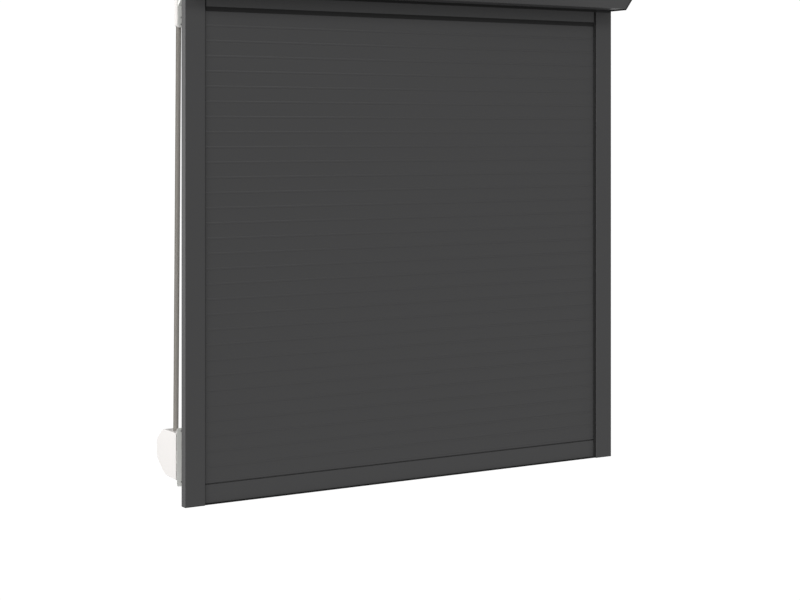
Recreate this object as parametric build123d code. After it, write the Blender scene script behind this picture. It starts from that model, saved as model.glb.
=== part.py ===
from build123d import *
import math
import os

os.makedirs("parts", exist_ok=True)

# Frame: X to the right seen from outside, Y into the room, Z up. The origin is on the wall
# plane, midway between the guide rails, level with their feet. All lengths are in millimetres.

# Driving sizes of the whole shutter
overall_width = 1300.0  # over the guide rails and the box ends
rail_height = 1242.0  # foot to top of a guide rail
box_size = 165.0  # height and depth of the box
underside_depth = 91.0  # flat underside, from the wall to the 45 degree chamfer
wall_thickness = 57.0  # window frame that the belt passes through
curtain_inset = 10.0  # mid plane of the curtain, in front of the wall plane

# Clearances and cuts
seat_gap = 0.05  # pieces of one body that seat in each other
running_gap = 0.3  # pieces that move past each other
pin_gap = 0.04  # radial clearance of a turning pin
overrun = 2.0  # how far a cut reaches past the face it opens

# Guide rails
rail_width = 53.0
rail_depth = 22.0
rail_wall = 1.4
rail_corner = 1.2
groove_width = 10.6
groove_depth = 32.0
seal_channel_depth = 9.0  # channel beside the groove that holds the lip seal
groove_lip_setback = 1.6
rail_hole_radius = 2.5
rail_access_radius = 5.0
rail_hole_inset = 121.0  # end holes from the rail's foot and top
foot_plate = 2.0  # plug under each rail
foot_plug_depth = 18.0
lip_seal_thickness = 1.2
lip_seal_foot = 6.5

# Slats
slat_pitch = 37.1
slat_thickness = 8.0
slat_skin = 0.7
slat_engagement = 16.0  # length of each slat end inside its groove
first_slat_base = 52.0  # lower edge of the lowest slat above the rail foot
joint_gap = 0.5
bead_height = 6.8
chamber_width = 4.4
chamber_height = 4.4
chamber_floor = 1.5
hook_flat_share = 0.45  # flat top of a hook against its whole width
neck_thickness = 1.2
neck_clearance = 0.4
head_clearance = 0.5
hook_offset = 0.4  # hook line behind the curtain's mid plane
hollow_rise = 1.2  # floor of the slat's hollow above its bead
slat_crest_share = 0.95  # of half the thickness
slat_top_share = 0.68
slat_lip_share = 0.80
bead_root_share = 0.88
slat_back_mid_share = 0.70
slat_back_top_share = 0.80
slat_crest_height_share = 0.55  # of the pitch

# Bottom bar and its seal
bar_base = 2.5  # underside of the metal above the rail foot
bar_gap = 3.5  # open line between the bar and the lowest slat
bar_wall = 1.3
bar_corner = 0.8
seal_slot_width = 3.2
seal_slot_height = 1.6
seal_head_width = 5.2
seal_head_height = 2.2
seal_bulb_width = 6.8
bar_cap_thickness = 2.0
bar_cap_plug = 10.0

# Box
adaptor_height = 6.0  # inlet adaptor between rail top and box
panel_inset = 1.2  # box panels behind the outline of the end caps
sheet = 1.2
box_corner = 4.0
end_cap_thickness = 2.5
cap_rim_depth = 11.0
cap_rim_wall = 1.8
panel_end_gap = 0.2
seam_drop = 15.0  # seam of back shell and front cover below the box top
seam_gap = 0.5
hook_tab_height = 8.0
cover_rear_inset = 24.0  # rear edge of the underside panel from the wall plane
cover_flange_height = 12.0
back_flange_depth = 2.2
spigot_drop = 38.0  # end cap tongue inside the rail
spigot_gap = 0.7
spigot_wall = 2.0
rib_thickness = 1.8
rib_height = 6.0
rib_count = 6

# Inlet: lip, its gasket and the adaptors over the rails
lip_inset = 20.5  # face of the lip in front of the wall plane
lip_sheet = 1.3
lip_drop = 39.0  # lip's lower edge below the rail top
lip_nose_height = 11.0
lip_nose_setback = 4.5
lip_end_gap = 0.5
lip_rise = 17.0  # above the rail top
gasket_head_height = 6.6
gasket_head_depth = 3.6
gasket_stem_height = 8.0
jaw_height = 15.0
jaw_flare = 3.2
jaw_width = 17.5

# Octagonal shaft, its ends and bearings
shaft_inset = 79.0
shaft_lift = 86.0  # axis above the box underside
shaft_flats = 40.0
shaft_wall = 1.0
shaft_plug_gap = 0.2
shaft_plug_depth = 45.0
shaft_right_end = 600.0
plug_collar = 3.0
axle_radius = 6.0
axle_end_gap = 0.9
bearing_outer_radius = 14.0
bearing_width = 8.0
boss_wall = 4.0
boss_depth = 10.5
hanger_count = 3
hanger_spacing = 450.0
hanger_width = 22.0
hanger_thickness = 0.8
hanger_bend_rise = 4.0  # start of the bend above the box underside
hanger_bend_radius = 30.0
hanger_wrap = math.radians(120.0)
clip_wall = 0.9

# Belt and its pulley
belt_inset = 25.0  # belt centre from the outer side of the left rail
belt_width = 14.0
belt_thickness = 1.0
belt_gap = 0.3
winding_pitch = 1.4
pulley_turns = 5
pulley_hub_radius = 44.0
pulley_flange_radius = 62.0
pulley_flange = 1.5
pulley_side_gap = 0.75
pulley_rim = 3.0
pulley_boss_radius = 15.0

# Belt passage through the frame and the guide on the room side
nose_radius = 7.5
nose_reach = 1.0  # nose centre behind the wall plane
nose_lift = 10.4  # nose centre above the box underside
duct_side_gap = 0.7
duct_wall = 1.2
duct_headroom = 4.2
guide_plate_thickness = 1.5
guide_plate_width = 18.0
guide_plate_height = 73.0
guide_drop = 75.0  # foot of the guide plate below the rail top
guide_roller_radius = 6.5
guide_roller_inset = 8.5  # roller axis in front of the room-side wall face
guide_roller_rise = 36.0  # roller axis above the foot of the guide plate
guide_roller_side_gap = 0.4
guide_axle_radius = 2.0
guide_cover_depth = 18.0
guide_cover_wall = 1.6
guide_cover_bevel = 2.0
guide_screw_inset = 6.0  # lower screw above the foot of the guide
guide_screw_spacing = 17.0
belt_exit_half = 2.6
belt_exit_rise = 11.0

# Belt winder
winder_plate_base = 36.5
winder_plate_height = 143.5
winder_plate_width = 23.0
winder_plate_thickness = 1.5
winder_plate_corner = 5.0
winder_screw_inset = 10.5  # lower screw above the foot of the plate
winder_screw_spacing = 125.5
winder_case_width = 28.0
winder_case_wall = 1.8
winder_case_base = 52.0
winder_case_height = 116.0
winder_case_depth = 118.5
winder_top_length = 80.0
winder_front_top = 139.0
winder_front_base = 92.0
winder_low_length = 70.0
winder_top_radius = 36.0
winder_shoulder_radius = 24.0
winder_chin_radius = 30.0
winder_belly_radius = 60.0
winder_wall_corner = 3.0
winder_edge_bevel = 1.2
winder_slot_half = 5.0
drum_inset = 64.0  # drum axis in front of the room-side wall face
drum_height = 108.0
drum_turns = 2
drum_hub_radius = 26.5
drum_flange_radius = 42.0
drum_flange = 1.2
drum_side_gap = 0.7
drum_rim = 2.0
drum_boss_radius = 7.0
drum_boss_height = 2.0
winder_axle_radius = 4.0
ear_width = 30.0
ear_thickness = 1.5
ear_gap = 0.8
spring_thickness = 0.6
spring_turns = 3

# Screws
screw_radius = 1.9
screw_gap = 0.2

# Places that follow from the sizes above
half_width = overall_width / 2
mouth_x = half_width - rail_width
slat_half_length = mouth_x + slat_engagement
curtain_y = -curtain_inset
half_slat = slat_thickness / 2
slat_front = curtain_y - half_slat
slat_back = curtain_y + half_slat
groove_front = curtain_y - groove_width / 2
groove_back = curtain_y + groove_width / 2
groove_end_x = mouth_x + groove_depth
rail_middle = -rail_depth / 2
front_channel = (-rail_depth + rail_wall, groove_front - rail_wall)
back_channel = (groove_back + rail_wall, -rail_wall)
box_base = rail_height + adaptor_height
box_top = box_base + box_size
panel_floor = box_base + panel_inset
panel_back = -panel_inset - sheet
shaft_axis = (-shaft_inset, box_base + shaft_lift)
inner_cap_x = half_width - end_cap_thickness
panel_half_length = inner_cap_x - panel_end_gap
rim_start_x = inner_cap_x - cap_rim_depth
tab_half_length = rim_start_x - running_gap
belt_x = -half_width + belt_inset
hook_y = curtain_y + hook_offset
slat_top = slat_pitch - joint_gap
hook_rise = chamber_floor + chamber_height - chamber_width / 2
slat_count = math.floor((rail_height - first_slat_base) / slat_pitch)
curtain_top = first_slat_base + slat_count * slat_pitch
bar_top = first_slat_base - bar_gap
bar_seal_top = bar_base + seal_slot_height + seal_head_height
guide_face = wall_thickness + guide_plate_thickness
winder_face = wall_thickness + winder_plate_thickness
drum_axis = (wall_thickness + drum_inset, drum_height)
guide_plate_base = rail_height - guide_drop
roller_axis = (wall_thickness + guide_roller_inset, guide_plate_base + guide_roller_rise)
nose_axis = (nose_reach, box_base + nose_lift)


def block(x0, x1, y0, y1, z0, z1):
    """A box between two corners."""
    corner = (Align.MIN, Align.MIN, Align.MIN)
    return Pos(x0, y0, z0) * Box(x1 - x0, y1 - y0, z1 - z0, align=corner)


def rectangle(u0, u1, v0, v1):
    """A flat rectangle between two corners."""
    return Pos((u0 + u1) / 2, (v0 + v1) / 2) * Rectangle(u1 - u0, v1 - v0)


def along_x(section, start, end):
    """A section drawn in Y and Z, carried along X."""
    return extrude(Plane.YZ.offset(start) * section, end - start)


def along_y(section, start, end):
    """A section drawn in X and Z, carried along Y."""
    return extrude(Plane.XZ.offset(-start) * section, start - end)


def along_z(section, start, end):
    """A section drawn in X and Y, carried along Z."""
    return extrude(Plane.XY.offset(start) * section, end - start)


def disc(centre, radius, start, end):
    """A round bar along X."""
    return along_x(Pos(*centre) * Circle(radius), start, end)


def ring(centre, outer, inner, start, end):
    """A tube along X."""
    return along_x(Pos(*centre) * (Circle(outer) - Circle(inner)), start, end)


def both_sides(shapes):
    """Shapes of the right-hand side and their mirror images on the left."""
    return shapes + [mirror(shape, Plane.YZ) for shape in shapes]


def octagon(flats):
    """An eight-sided section round the shaft's axis, with flats on top and at the sides."""
    shape = RegularPolygon(flats / 2, 8, major_radius=False, rotation=22.5)
    return Pos(*shaft_axis) * shape


def polar(centre, radius, angle):
    """The point at an angle on a circle in the Y-Z plane."""
    return (centre[0] + radius * math.cos(angle), centre[1] + radius * math.sin(angle))


# Flat bands: a path of straight runs and tangent bends with a constant thickness


def run(start, end):
    """A straight stretch of a band's path."""
    return ("run", start, end)


def bend(centre, radius, start_angle, sweep):
    """A round stretch of a band's path, anticlockwise where the sweep is positive."""
    return ("bend", centre, radius, start_angle, sweep)


def stretch_edge(stretch, offset_left):
    """The edge beside a stretch, moved to the left of its travel."""
    if stretch[0] == "run":
        (y0, z0), (y1, z1) = stretch[1], stretch[2]
        left = math.atan2(z1 - z0, y1 - y0) + math.pi / 2
        return Line(polar((y0, z0), offset_left, left), polar((y1, z1), offset_left, left))
    _, centre, radius, start_angle, sweep = stretch
    side_radius = radius - offset_left if sweep > 0 else radius + offset_left
    marks = [polar(centre, side_radius, start_angle + part * sweep) for part in (0, 0.5, 1)]
    return ThreePointArc(*marks)


def band(path, thickness):
    """The face of a band: both sides of its path, closed at the two ends."""
    left = [stretch_edge(stretch, thickness / 2) for stretch in path]
    right = [stretch_edge(stretch, -thickness / 2) for stretch in path]
    ends = [Line(left[0] @ 0, right[0] @ 0), Line(left[-1] @ 1, right[-1] @ 1)]
    return make_face(Curve() + left + right + ends)


def tangent(centre_a, radius_a, centre_b, radius_b):
    """The line that leaves one circle and meets the next: its heading and both its ends.

    A radius is positive where the path goes round its circle anticlockwise.
    """
    gap_y, gap_z = centre_b[0] - centre_a[0], centre_b[1] - centre_a[1]
    spacing = math.hypot(gap_y, gap_z)
    heading = math.atan2(gap_z, gap_y) - math.asin((radius_b - radius_a) / spacing)
    left = heading + math.pi / 2
    return heading, polar(centre_a, -radius_a, left), polar(centre_b, -radius_b, left)


def winding(centre, outer_radius, pitch, turns, join_angle):
    """Half turns that shrink inwards from a join on their outer circle, outermost first.

    Each is its centre, its radius and the angle where an incoming band starts it.
    """
    far = join_angle + math.pi
    halves = []
    for half in range(2 * turns):
        shifted = half % 2 == 1
        middle = polar(centre, pitch / 2, far) if shifted else centre
        radius = outer_radius - half * pitch / 2
        halves.append((middle, radius, far if shifted else join_angle))
    return halves


# Guide rails with their seals, foot plugs and fixing holes


def rail_holes():
    """Heights of the side fixing holes in each rail."""
    low, high = rail_hole_inset, rail_height - rail_hole_inset
    return [low, (low + high) / 2, high]


def rail_foot_outline():
    """The rail's outer rectangle with its two front corners rounded."""
    outline = rectangle(mouth_x, half_width, -rail_depth, 0)
    return fillet(outline.vertices().group_by(Axis.Y)[0], rail_corner)


def chamber_tongue():
    """A hollow plug section that fits the rail's closed outer chamber."""
    low_x, high_x = groove_end_x + rail_wall + spigot_gap, inner_cap_x - spigot_gap
    low_y, high_y = front_channel[0] + spigot_gap, back_channel[1] - spigot_gap
    tongue = rectangle(low_x, high_x, low_y, high_y)
    return tongue - offset(tongue, -spigot_wall)


def guide_rail():
    """The right rail: curtain groove, two seal channels and a closed outer chamber."""
    body = rail_foot_outline()
    body -= rectangle(mouth_x - overrun, groove_end_x, groove_front, groove_back)
    body -= rectangle(
        groove_end_x + rail_wall, half_width - rail_wall, front_channel[0], back_channel[1]
    )
    channel_end = mouth_x + seal_channel_depth
    mouth_cut = mouth_x + groove_lip_setback
    for low, high in (front_channel, back_channel):
        body -= rectangle(mouth_x - overrun, channel_end, low, high)
        body -= rectangle(channel_end + rail_wall, groove_end_x, low, high)
    body -= rectangle(mouth_x - overrun, mouth_cut, front_channel[0], back_channel[1])
    rail = along_z(body, foot_plate, rail_height)
    for height in rail_holes():
        centre = (rail_middle, height)
        rail -= disc(centre, rail_hole_radius, half_width - rail_wall - overrun, half_width + overrun)
        rail -= disc(centre, rail_access_radius, groove_end_x - overrun, groove_end_x + overrun)
    return rail


def lip_seal(channel, lip_end, outward):
    """One strip: a foot in the rail's channel and a rounded lip that leans to the slats."""
    low, high = channel[0] + seat_gap, channel[1] - seat_gap
    lip_x = mouth_x + lip_seal_thickness
    section = rectangle(mouth_x, mouth_x + lip_seal_foot, low, high)
    section += rectangle(mouth_x, lip_x, min(low, lip_end), max(high, lip_end))
    tip = section.vertices().group_by(Axis.X)[0].sort_by(Axis.Y)[0 if outward else -1]
    return along_z(fillet(tip, lip_seal_thickness / 2), foot_plate, rail_height)


def lip_seals():
    """The four strips, two in each rail."""
    front = lip_seal(front_channel, slat_front - running_gap, False)
    back = lip_seal(back_channel, slat_back + running_gap, True)
    return both_sides([front, back])


def foot_plug():
    """The plug under the right rail: a plate and a tongue up the closed chamber."""
    plug = along_z(rail_foot_outline(), 0, foot_plate)
    return plug + along_z(chamber_tongue(), foot_plate, foot_plate + foot_plug_depth)


# Curtain: slats that hook into each other, and the bottom bar


def hook_top(half, base):
    """The bevelled top of a hook or of its chamber."""
    flat = half * hook_flat_share
    return make_face(
        Polyline(
            (hook_y - half, base),
            (hook_y - flat, base + half),
            (hook_y + flat, base + half),
            (hook_y + half, base),
            close=True,
        )
    )


def hook_head(root, joint):
    """A tongue from its root up into the slat whose lower edge is at the joint height."""
    half_neck = neck_thickness / 2
    half_head = chamber_width / 2 - head_clearance
    floor = joint + chamber_floor + head_clearance
    centre = joint + hook_rise
    neck = rectangle(hook_y - half_neck, hook_y + half_neck, root, floor)
    head = rectangle(hook_y - half_head, hook_y + half_head, floor, centre)
    return neck + head + hook_top(half_head, centre)


def hook_chamber(joint):
    """The chamber in a slat's lower edge that the tongue below it sits in."""
    half_neck = neck_thickness / 2 + neck_clearance
    half_chamber = chamber_width / 2
    floor, centre = joint + chamber_floor, joint + hook_rise
    slot = rectangle(hook_y - half_neck, hook_y + half_neck, joint - overrun, centre)
    chamber = rectangle(hook_y - half_chamber, hook_y + half_chamber, floor, centre)
    return slot + chamber + hook_top(half_chamber, centre)


def slat_outline(base):
    """The slat's section: a forward bead, a crowned face and a hollowed back."""
    lip = (curtain_y - half_slat * slat_lip_share, base)
    bead = (slat_front, base + bead_height / 2)
    root = (curtain_y - half_slat * bead_root_share, base + bead_height)
    crest_height = base + slat_pitch * slat_crest_height_share
    crest = (curtain_y - half_slat * slat_crest_share, crest_height)
    top = (curtain_y - half_slat * slat_top_share, base + slat_top)
    back_top = (curtain_y + half_slat * slat_back_top_share, base + slat_top)
    back_mid = (curtain_y + half_slat * slat_back_mid_share, base + slat_pitch / 2)
    back_low = (slat_back, base)
    edges = [
        ThreePointArc(lip, bead, root),
        ThreePointArc(root, crest, top),
        Line(top, back_top),
        ThreePointArc(back_top, back_mid, back_low),
        Line(back_low, lip),
    ]
    return make_face(Curve() + edges)


def slat(base):
    """One roll-formed slat at its closed height."""
    outline = slat_outline(base)
    floor = base + chamber_floor + chamber_height + hollow_rise
    hollow_front = curtain_y - half_slat * slat_top_share + slat_skin
    hollow_back = curtain_y + half_slat * slat_back_mid_share - slat_skin
    hollow = rectangle(hollow_front, hollow_back, floor, base + slat_top - slat_skin)
    section = outline - hook_chamber(base) - hollow
    section += hook_head(base + slat_top - joint_gap, base + slat_pitch)
    return along_x(section, -slat_half_length, slat_half_length)


def bar_hollow(inset):
    """The chamber inside the bottom bar, made smaller by the inset."""
    low, high = bar_seal_top + bar_wall, bar_top - bar_wall
    return rectangle(
        slat_front + bar_wall + inset, slat_back - bar_wall - inset, low + inset, high - inset
    )


def bottom_bar():
    """The extruded bar: a chamber, a T slot for the seal and the tongue for the first slat."""
    body = rectangle(slat_front, slat_back, bar_base, bar_top)
    body = fillet(body.vertices(), bar_corner)
    half_slot, half_head = seal_slot_width / 2, seal_head_width / 2
    slot_top = bar_base + seal_slot_height
    body -= rectangle(curtain_y - half_slot, curtain_y + half_slot, bar_base - overrun, bar_seal_top)
    body -= rectangle(curtain_y - half_head, curtain_y + half_head, slot_top, bar_seal_top)
    body -= bar_hollow(0)
    body += hook_head(bar_top - seat_gap, first_slat_base)
    return along_x(body, -slat_half_length, slat_half_length)


def bottom_bar_seal():
    """The rubber foot: a head in the bar's T slot, a stem and a rounded bulb."""
    half_head = seal_head_width / 2 - seat_gap
    half_stem = seal_slot_width / 2 - seat_gap
    half_bulb = seal_bulb_width / 2
    bulb_top = bar_base - seat_gap
    head_low = bar_base + seal_slot_height + seat_gap
    head_high = bar_seal_top - seat_gap
    bulb = rectangle(curtain_y - half_bulb, curtain_y + half_bulb, 0, bulb_top)
    bulb = fillet(bulb.vertices().group_by(Axis.Y)[0], bulb_top / 2)
    stem = rectangle(curtain_y - half_stem, curtain_y + half_stem, bulb_top / 2, head_high)
    head = rectangle(curtain_y - half_head, curtain_y + half_head, head_low, head_high)
    half_length = mouth_x - lip_end_gap
    return along_x(bulb + stem + head, -half_length, half_length)


def bottom_bar_cap():
    """The right end cap of the bar: a plate that glides in the groove, and a plug."""
    plate = rectangle(slat_front, slat_back, bar_base, bar_top)
    plate = fillet(plate.vertices(), bar_corner)
    cap = along_x(plate, slat_half_length, slat_half_length + bar_cap_thickness)
    return cap + along_x(bar_hollow(seat_gap), slat_half_length - bar_cap_plug, slat_half_length)


# Box: end caps, back shell and front cover


def box_outline(inset):
    """The side outline of the box, moved inwards by the inset."""
    chamfer = box_size - underside_depth
    corners = [
        (0, box_base),
        (-underside_depth, box_base),
        (-box_size, box_base + chamfer),
        (-box_size, box_top),
        (0, box_top),
    ]
    outline = make_face(Polyline(*corners, close=True))
    outline = fillet(outline.vertices().sort_by(Axis.X)[:3], box_corner)
    return offset(outline, -inset) if inset else outline


def box_wall(outer_inset, thickness):
    """A closed wall that follows the outline of the box."""
    return box_outline(outer_inset) - box_outline(outer_inset + thickness)


def back_shell():
    """Back, top and upper front edge of the box in one bent sheet, with the belt opening."""
    wall = box_wall(panel_inset, sheet)
    top = wall & rectangle(-box_size, 0, box_top - seam_drop, box_top)
    back = wall & rectangle(panel_back, 0, box_base, box_top)
    foot = wall & rectangle(panel_back - back_flange_depth, 0, box_base, panel_floor + sheet)
    shell = along_x(top + back, -panel_half_length, panel_half_length)
    shell += along_x(foot, -mouth_x, mouth_x)
    half_opening = belt_width / 2 + duct_side_gap + duct_wall + running_gap
    opening_top = nose_axis[1] + nose_radius + duct_headroom + duct_wall + overrun
    low_y, high_y = panel_back - overrun, overrun
    shell -= block(
        belt_x - half_opening, belt_x + half_opening, low_y, high_y, box_base, opening_top
    )
    return shell


def front_cover():
    """Front, chamfer and underside of the box in one sheet that lifts off."""
    wall = box_wall(panel_inset, sheet)
    seam = box_top - seam_drop - seam_gap
    face = wall & rectangle(-box_size, -cover_rear_inset, box_base, seam)
    cover = along_x(face, -panel_half_length, panel_half_length)
    rear = -cover_rear_inset
    flange = rectangle(rear - sheet, rear, panel_floor, panel_floor + cover_flange_height)
    tab_y = -box_size + panel_inset + sheet
    tab = rectangle(tab_y, tab_y + sheet, seam - hook_tab_height, seam + hook_tab_height)
    for edge in (flange, tab):
        cover += along_x(edge, -tab_half_length, tab_half_length)
    return cover


def end_cap():
    """The right end cap: plate, rim, bearing boss, ribs and the tongue into the rail."""
    rim_inset = panel_inset + sheet + seat_gap
    cap = along_x(box_outline(0), inner_cap_x, half_width)
    cap += along_x(box_wall(rim_inset, cap_rim_wall), rim_start_x, inner_cap_x)
    ribs = Sketch()
    for index in range(rib_count):
        bar = Pos(box_size / 2) * Rectangle(box_size, rib_thickness)
        ribs += Pos(*shaft_axis) * Rot(0, 0, index * 360 / rib_count) * bar
    ribs = ribs & box_outline(rim_inset + cap_rim_wall / 2)
    cap += along_x(ribs, inner_cap_x - rib_height, inner_cap_x)
    cap += disc(shaft_axis, bearing_outer_radius + boss_wall, inner_cap_x - boss_depth, inner_cap_x)
    cap -= disc(shaft_axis, bearing_outer_radius + seat_gap / 2, inner_cap_x - boss_depth, inner_cap_x)
    tongue = chamber_tongue()
    cap += along_z(tongue, rail_height - spigot_drop, box_base + seat_gap)
    bounds = tongue.bounding_box()
    low_y, high_y = bounds.min.Y, panel_back - seat_gap
    rise = box_base + rim_inset + cap_rim_wall / 2
    cap += block(bounds.min.X, inner_cap_x, low_y, high_y, box_base, box_base + panel_inset)
    cap += block(rim_start_x, inner_cap_x, low_y, high_y, box_base, rise)
    return cap


# Inlet: lip, gasket and adaptors


def inlet_lip():
    """The apron under the box: a flat face with a rounded nose that turns in to the slats."""
    bend_z = rail_height - lip_drop + lip_nose_height
    radius = (lip_nose_height**2 + lip_nose_setback**2) / (2 * lip_nose_setback)
    sweep = math.asin(lip_nose_height / radius)
    web_y = -lip_inset + lip_sheet / 2
    web = run((web_y, rail_height + lip_rise), (web_y, bend_z))
    nose = bend((-lip_inset + radius, bend_z), radius - lip_sheet / 2, math.pi, sweep)
    half_length = mouth_x - lip_end_gap
    return along_x(band([web, nose], lip_sheet), -half_length, half_length)


def cover_seal():
    """The black strip between the lip and the underside panel."""
    back = -lip_inset - seat_gap
    top = panel_floor - seat_gap
    head = rectangle(back - gasket_head_depth, back, top - gasket_head_height, top)
    head = fillet(head.vertices().group_by(Axis.Y)[0].sort_by(Axis.X)[0], gasket_head_depth / 4)
    stem_front = -cover_rear_inset + seat_gap
    stem = rectangle(stem_front, back, top - gasket_head_height / 2, top + gasket_stem_height)
    half_length = mouth_x - lip_end_gap
    return along_x(head + stem, -half_length, half_length)


def inlet_adaptor():
    """The right adaptor: a flange between rail and box, and a flared jaw for the curtain."""
    tongue = chamber_tongue().bounding_box()
    flange = rail_foot_outline()
    flange -= rectangle(
        tongue.min.X - seat_gap,
        tongue.max.X + seat_gap,
        tongue.min.Y - seat_gap,
        tongue.max.Y + seat_gap,
    )
    flange -= rectangle(mouth_x - overrun, groove_end_x, groove_front, groove_back)
    adaptor = along_z(flange, rail_height, box_base)
    jaw_top = box_base + jaw_height
    front = -rail_depth
    corners = [
        (front, box_base),
        (groove_front, box_base),
        (groove_front - jaw_flare, jaw_top),
        (front, jaw_top),
    ]
    jaw = make_face(Polyline(*corners, close=True))
    return adaptor + along_x(jaw, mouth_x, mouth_x + jaw_width)


# Shaft with pulley, end plug, bearings and hangers

pulley_low = belt_x - belt_width / 2 - pulley_side_gap
pulley_high = belt_x + belt_width / 2 + pulley_side_gap
pulley_outer = pulley_low - pulley_flange
pulley_inner = pulley_high + pulley_flange
axle_reach = inner_cap_x - axle_end_gap
stub_flats = shaft_flats - 2 * shaft_wall - 2 * shaft_plug_gap


def roller_shaft():
    """The octagonal tube."""
    section = octagon(shaft_flats) - octagon(shaft_flats - 2 * shaft_wall)
    return along_x(section, pulley_inner + plug_collar, shaft_right_end)


def belt_pulley():
    """Cup-shaped pulley: a closed flange, the hub, an open flange, boss, stub and axle pin."""
    pulley = disc(shaft_axis, pulley_flange_radius, pulley_outer, pulley_low)
    inner_hub = pulley_hub_radius - pulley_rim
    pulley += ring(shaft_axis, pulley_hub_radius, inner_hub, pulley_low, pulley_high)
    pulley += ring(shaft_axis, pulley_flange_radius, inner_hub, pulley_high, pulley_inner)
    pulley += disc(shaft_axis, pulley_boss_radius, pulley_low, pulley_inner)
    pulley += along_x(octagon(shaft_flats), pulley_inner, pulley_inner + plug_collar)
    stub_end = pulley_inner + plug_collar + shaft_plug_depth
    pulley += along_x(octagon(stub_flats), pulley_inner, stub_end)
    return pulley + disc(shaft_axis, axle_radius, -axle_reach, pulley_outer)


def shaft_end_plug():
    """The right plug: an octagonal stub, its collar and the axle pin."""
    collar_end = shaft_right_end + plug_collar
    plug = along_x(octagon(stub_flats), shaft_right_end - shaft_plug_depth, shaft_right_end)
    plug += along_x(octagon(shaft_flats), shaft_right_end, collar_end)
    return plug + disc(shaft_axis, axle_radius, collar_end, axle_reach)


def shaft_bearing():
    """The right bearing: a ring pressed into the end cap's boss."""
    outer = bearing_outer_radius - seat_gap / 2
    start = inner_cap_x - bearing_width
    return ring(shaft_axis, outer, axle_radius + pin_gap, start, inner_cap_x)


def hanger_path():
    """From the clip on the top slat, up and over the shaft."""
    clip_top = curtain_top + chamber_floor + chamber_height + clip_wall
    start_z = box_base + hanger_bend_rise
    corner_radius = shaft_flats / 2 / math.cos(math.pi / 8)
    wrap_radius = corner_radius + running_gap + hanger_thickness / 2
    bend_centre = (hook_y - hanger_bend_radius, start_z)
    heading, leave, meet = tangent(bend_centre, hanger_bend_radius, shaft_axis, wrap_radius)
    turn = heading - math.pi / 2
    return [
        run((hook_y, clip_top - clip_wall / 2), (hook_y, start_z)),
        bend(bend_centre, hanger_bend_radius, 0, turn),
        run(leave, meet),
        bend(shaft_axis, wrap_radius, turn, hanger_wrap),
    ]


def hangers():
    """Spring steel strips that hang the curtain on the shaft, each with its clip."""
    centre = curtain_top + hook_rise
    half_clip = chamber_width / 2 + clip_wall
    clip = Pos(hook_y, centre) * Circle(half_clip)
    clip += rectangle(hook_y - half_clip, hook_y + half_clip, curtain_top + clip_wall / 2, centre)
    section = band(hanger_path(), hanger_thickness) + clip - hook_chamber(curtain_top)
    strips = []
    for index in range(hanger_count):
        middle = (index - (hanger_count - 1) / 2) * hanger_spacing
        strips.append(along_x(section, middle - hanger_width / 2, middle + hanger_width / 2))
    return strips


# Belt: one band from the pulley through the frame to the winder's drum

belt_half = belt_thickness / 2
pulley_wrap = pulley_hub_radius + belt_gap + belt_half + pulley_turns * winding_pitch
nose_wrap = nose_radius + belt_gap + belt_half
roller_wrap = guide_roller_radius + belt_gap + belt_half
drum_wrap = drum_hub_radius + belt_gap + belt_half + drum_turns * winding_pitch
to_nose, leave_pulley, meet_nose = tangent(shaft_axis, pulley_wrap, nose_axis, -nose_wrap)
to_roller, leave_nose, meet_roller = tangent(nose_axis, -nose_wrap, roller_axis, -roller_wrap)
to_drum, leave_roller, meet_drum = tangent(roller_axis, -roller_wrap, drum_axis, drum_wrap)


def belt_path():
    """Windings on the pulley, two bends and three free runs, windings on the drum."""
    quarter = math.pi / 2
    path = []
    pulley_halves = winding(
        shaft_axis, pulley_wrap, winding_pitch, pulley_turns, to_nose - quarter
    )
    for middle, radius, start in reversed(pulley_halves):
        path.append(bend(middle, radius, start - math.pi, math.pi))
    path.append(run(leave_pulley, meet_nose))
    path.append(bend(nose_axis, nose_wrap, to_nose + quarter, to_roller - to_nose))
    path.append(run(leave_nose, meet_roller))
    path.append(bend(roller_axis, roller_wrap, to_roller + quarter, to_drum - to_roller))
    path.append(run(leave_roller, meet_drum))
    drum_halves = winding(drum_axis, drum_wrap, winding_pitch, drum_turns, to_drum - quarter)
    for middle, radius, start in drum_halves:
        path.append(bend(middle, radius, start, math.pi))
    return path


def belt():
    """The whole belt."""
    section = band(belt_path(), belt_thickness)
    return along_x(section, belt_x - belt_width / 2, belt_x + belt_width / 2)


# Belt passage, guide cover and roller


def guide_outline(inset):
    """The upright oblong of the belt guide, seen from the room."""
    length = guide_plate_height - 2 * inset
    width = guide_plate_width - 2 * inset
    middle = guide_plate_base + guide_plate_height / 2
    return Pos(belt_x, middle) * SlotOverall(length, width, rotation=90)


def guide_screw_heights():
    """The two screws of the belt guide."""
    low = guide_plate_base + guide_screw_inset
    return [low, low + guide_screw_spacing]


def passage_band(below, above):
    """A strip along the belt's way through the frame, from below the belt to above it."""
    up = to_roller + math.pi / 2
    corners = [
        polar(leave_nose, -below, up),
        polar(meet_roller, -below, up),
        polar(meet_roller, above, up),
        polar(leave_nose, above, up),
    ]
    return make_face(Polyline(*corners, close=True))


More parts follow.
